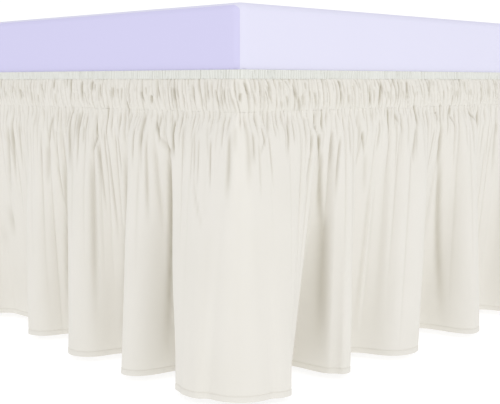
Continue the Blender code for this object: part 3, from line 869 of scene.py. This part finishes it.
def brushed_polyester(name, light, deep, valley, thread):
    """Brushed polyester, woven for the skirt and knitted for the elastic: matte, with a soft sheen.

    Its tone is faintly cloudy and its threads are a fine bump. Its valleys are painted a deeper tone, as
    painted shade, as far as the point attribute says.
    """
    made, tree, shader = new_material(name)
    place = add_node(tree, "ShaderNodeUVMap", uv_map="cloth")
    on_cloth = [(place.outputs["UV"], "Vector")]
    cloud = add_node(tree, "ShaderNodeTexNoise", on_cloth, Scale=per_metre(CLOTH_PATCH), Detail=3.0)
    tone = add_node(tree, "ShaderNodeMix", [(cloud.outputs["Fac"], "Factor")], data_type="RGBA")
    tone.inputs[6].default_value = (*linear(light), 1.0)
    tone.inputs[7].default_value = (*linear(deep), 1.0)
    # painted shade: the valley colour is mixed in as far as the point attribute says
    painted_valley_shade = add_node(tree, "ShaderNodeAttribute", attribute_name="painted_valley_shade")
    links = [(painted_valley_shade.outputs["Fac"], "Factor"), (tone.outputs[2], 6)]
    valleys = add_node(tree, "ShaderNodeMix", links, data_type="RGBA")
    valleys.inputs[7].default_value = (*linear(valley), 1.0)
    tree.links.new(valleys.outputs[2], shader.inputs["Base Color"])
    threads = add_node(tree, "ShaderNodeTexNoise", on_cloth, Scale=per_metre(thread), Detail=2.0)
    links = [(threads.outputs["Fac"], "Height")]
    bump = add_node(tree, "ShaderNodeBump", links, Strength=0.12, Distance=0.0004)
    tree.links.new(bump.outputs["Normal"], shader.inputs["Normal"])
    shader.inputs["Roughness"].default_value = 0.75
    shader.inputs["Sheen Weight"].default_value = 0.15
    shader.inputs["Sheen Roughness"].default_value = 0.5
    shader.inputs["Specular IOR Level"].default_value = 0.25
    return made


def ticking(name, light, deep, end):
    """Tight woven ticking over foam: matte, even and faintly felted, with painted shade on both ends."""
    made, tree, shader = new_material(name)
    place = add_node(tree, "ShaderNodeTexCoord")
    on_block = [(place.outputs["Object"], "Vector")]
    cloud = add_node(tree, "ShaderNodeTexNoise", on_block, Scale=per_metre(TICKING_PATCH), Detail=2.0)
    tone = add_node(tree, "ShaderNodeMix", [(cloud.outputs["Fac"], "Factor")], data_type="RGBA")
    tone.inputs[6].default_value = (*linear(light), 1.0)
    tone.inputs[7].default_value = (*linear(deep), 1.0)
    # painted shade: both end faces of the block are painted a deeper lavender
    apart = add_node(tree, "ShaderNodeSeparateXYZ", on_block)
    along = add_node(tree, "ShaderNodeMath", [(apart.outputs["Y"], 0)], operation="ABSOLUTE")
    end_shade_mask = add_node(tree, "ShaderNodeMath", [(along.outputs[0], 0)], operation="GREATER_THAN")
    end_shade_mask.inputs[1].default_value = (MATTRESS_LENGTH / 2 - END_SHADE_IN) * MM
    links = [(end_shade_mask.outputs[0], "Factor"), (tone.outputs[2], 6)]
    end_shaded = add_node(tree, "ShaderNodeMix", links, data_type="RGBA")
    end_shaded.inputs[7].default_value = (*linear(end), 1.0)
    tree.links.new(end_shaded.outputs[2], shader.inputs["Base Color"])
    felt = add_node(tree, "ShaderNodeTexNoise", on_block, Scale=per_metre(TICKING_FELT), Detail=1.0)
    bump = add_node(tree, "ShaderNodeBump", [(felt.outputs["Fac"], "Height")], Strength=0.1, Distance=0.0003)
    tree.links.new(bump.outputs["Normal"], shader.inputs["Normal"])
    shader.inputs["Roughness"].default_value = 0.9
    shader.inputs["Specular IOR Level"].default_value = 0.15
    return made


def painted_pine(name, light, deep):
    """Planed pine under thin paint: long faint grain and a dull gloss."""
    made, tree, shader = new_material(name)
    place = add_node(tree, "ShaderNodeTexCoord")
    wide, long = per_metre(PINE_GRAIN["wide"]), per_metre(PINE_GRAIN["long"])
    on_wood = [(place.outputs["Object"], "Vector")]
    along = add_node(tree, "ShaderNodeMapping", on_wood, Scale=(wide, long, wide))
    along_grain = [(along.outputs["Vector"], "Vector")]
    grain = add_node(tree, "ShaderNodeTexNoise", along_grain, Scale=1.0, Detail=4.0)
    tone = add_node(tree, "ShaderNodeMix", [(grain.outputs["Fac"], "Factor")], data_type="RGBA")
    tone.inputs[6].default_value = (*linear(light), 1.0)
    tone.inputs[7].default_value = (*linear(deep), 1.0)
    tree.links.new(tone.outputs[2], shader.inputs["Base Color"])
    bump = add_node(tree, "ShaderNodeBump", [(grain.outputs["Fac"], "Height")], Strength=0.2, Distance=0.0005)
    tree.links.new(bump.outputs["Normal"], shader.inputs["Normal"])
    shader.inputs["Roughness"].default_value = 0.55
    return made


def block_grid():
    """Points of the block as rings of its outline, from the middle of the top down to that of the bottom.

    The side and its rounded edges are the outline drawn in by a profile's inset: the radius times 1 less the
    sine or the cosine of the turn. The flat faces are the outermost rings drawn in evenly to the middle.
    """
    turn = np.linspace(0, math.pi / 2, BLOCK_EDGE_STEPS + 1)
    from_flat, from_side = MATTRESS_ROUNDING * (1 - np.sin(turn)), MATTRESS_ROUNDING * (1 - np.cos(turn))
    inset = np.concatenate((from_flat, from_side))
    height = np.concatenate((MATTRESS_LOW.z + from_side, MATTRESS_HIGH.z - from_flat))
    line, out = on_line(np.linspace(0, GIRTH, BLOCK_AROUND, endpoint=False))
    rings = line - out * (LINE_OUT + inset[:, None, None])
    levels = np.broadcast_to(height[:, None, None], (*rings.shape[:2], 1))
    side = np.concatenate((rings, levels), -1)
    drawn_in = np.linspace(1, 0, BLOCK_FACE_RINGS, endpoint=False)[1:, None, None] * [1, 1, 0] + [0, 0, 1]
    return np.concatenate((side[0] * drawn_in[::-1], side, side[-1] * drawn_in))[::-1]


def make_mattress(finish):
    """The block: a grid of rings, closed by fans of triangles in the middle of its top and its bottom."""
    grid = block_grid()
    middles = [[0, 0, MATTRESS_HIGH.z], [0, 0, MATTRESS_LOW.z]]
    points = np.concatenate((grid.reshape(-1, 3), middles))
    top, low = len(points) - 2, len(points) - 1
    first = np.arange(BLOCK_AROUND)
    last = first + top - BLOCK_AROUND
    fan_top = np.stack((np.full_like(first, top), first, np.roll(first, -1)), -1)
    fan_low = np.stack((np.full_like(last, low), np.roll(last, -1), last), -1)
    quads = grid_faces(len(grid), BLOCK_AROUND, 0, True, False)
    mesh = bpy.data.meshes.new("mattress_block")
    mesh.from_pydata((points * MM).tolist(), [], quads.tolist() + fan_top.tolist() + fan_low.tolist())
    mesh.shade_smooth()
    mesh.set_sharp_from_angle(angle=math.radians(BLOCK_SHARP_ANGLE))
    mesh.materials.append(finish)
    made = bpy.data.objects.new("mattress_block", mesh)
    bpy.context.scene.collection.objects.link(made)
    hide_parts("mattress")
    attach(made, "root")
    return made


def make_camera():
    """The camera at the photograph's angle, placed from the block's foot corner."""
    azimuth, tip = math.radians(CAMERA_AZIMUTH), math.radians(CAMERA_TIP)
    ahead = Vector((-math.sin(azimuth), math.cos(azimuth), 0.0))
    aside = Vector((math.cos(azimuth), math.sin(azimuth), 0.0))
    corner = Vector((MATTRESS_HIGH.x, MATTRESS_LOW.y, EDGING_HIGH.z)) * MM
    away = CAMERA_AWAY * MM
    place = corner - ahead * away + aside * away * math.tan(math.radians(CAMERA_ASIDE))
    place.z -= away * math.tan(math.radians(CAMERA_BELOW_HEADING))
    look = ahead * math.cos(tip) - Vector((0.0, 0.0, math.sin(tip)))
    data = bpy.data.cameras.new("camera")
    data.lens = LENS
    data.sensor_width = SENSOR
    data.sensor_fit = "HORIZONTAL"
    camera = bpy.data.objects.new("camera", data)
    camera.location = place
    camera.rotation_euler = look.to_track_quat("-Z", "Y").to_euler()
    bpy.context.scene.collection.objects.link(camera)
    bpy.context.scene.camera = camera
    return ahead, aside, corner


def soft_box(box, ahead, aside, corner):
    """A square area light, so far from the corner in view as its row says, and turned to it."""
    away = aside * box["right"] - ahead * box["near"] + Vector((0.0, 0.0, box["up"]))
    data = bpy.data.lights.new(box["name"], "AREA")
    data.size = box["size"] * MM
    data.energy = box["power"]
    light = bpy.data.objects.new(box["name"], data)
    light.location = corner + away * MM
    light.rotation_euler = (-away).to_track_quat("-Z", "Y").to_euler()
    bpy.context.scene.collection.objects.link(light)


def studio_paper(name, tone):
    """Matte white paper, lit from behind, so that it shows white and takes almost no shadow."""
    made, _, shader = new_material(name)
    shader.inputs["Base Color"].default_value = (*linear(tone), 1.0)
    shader.inputs["Roughness"].default_value = 0.9
    shader.inputs["Emission Color"].default_value = (1.0, 1.0, 1.0, 1.0)
    shader.inputs["Emission Strength"].default_value = PAPER_GLOW
    return made


def make_studio(ahead, aside, corner):
    """A white room: even light all round, three soft boxes, mostly from the front, and paper on the floor."""
    world = bpy.data.worlds.new("white room")
    world.use_nodes = True
    tree = world.node_tree
    seen = tree.nodes["Background"]
    seen.inputs["Color"].default_value = (1.0, 1.0, 1.0, 1.0)
    seen.inputs["Strength"].default_value = ROOM_SEEN
    lit = add_node(tree, "ShaderNodeBackground", Strength=ROOM_LIGHT)
    lit.inputs["Color"].default_value = (*linear("#FDFDFF"), 1.0)
    rays = add_node(tree, "ShaderNodeLightPath")
    links = [(rays.outputs["Is Camera Ray"], 0), (lit.outputs[0], 1), (seen.outputs[0], 2)]
    mixed = add_node(tree, "ShaderNodeMixShader", links)
    tree.links.new(mixed.outputs[0], tree.nodes["World Output"].inputs["Surface"])
    bpy.context.scene.world = world
    for box in SOFT_BOXES:
        soft_box(box, ahead, aside, corner)
    reach = PAPER_REACH * MM
    mesh = bpy.data.meshes.new("floor")
    corners = [(-reach, -reach, 0), (reach, -reach, 0), (reach, reach, 0), (-reach, reach, 0)]
    mesh.from_pydata(corners, [], [(0, 1, 2, 3)])
    mesh.materials.append(studio_paper("white studio paper", "#8C8C8C"))
    floor = bpy.data.objects.new("floor", mesh)
    bpy.context.scene.collection.objects.link(floor)
    bpy.context.scene.view_settings.view_transform = "Standard"


def main():
    """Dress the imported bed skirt."""
    ahead, aside, corner = make_camera()
    make_studio(ahead, aside, corner)
    # Each cloth's third colour is painted shade for its valleys.
    ivory = brushed_polyester("ivory brushed polyester", "#E8E5DE", "#E2DFD6", "#B9B3A2", SKIRT_THREAD)
    elastic = brushed_polyester("ivory knitted elastic", "#E6E7E2", "#DFE0D9", "#C4C4B9", ELASTIC_THREAD)
    # The ticking's last colour is painted shade for both end faces.
    make_mattress(ticking("lavender mattress ticking", "#E2E1F2", "#DFDEF0", "#D3D0EE"))
    pine = painted_pine("pale painted pine", "#DCD3C2", "#CFC4B0")
    for name in ("base_slab", "leg_1", "leg_2", "leg_3", "leg_4"):
        for holder in frame["nodes"][name].material_slots:
            holder.material = pine
    make_casing(ivory)
    make_edging(elastic)
    make_skirt(ivory)


main()
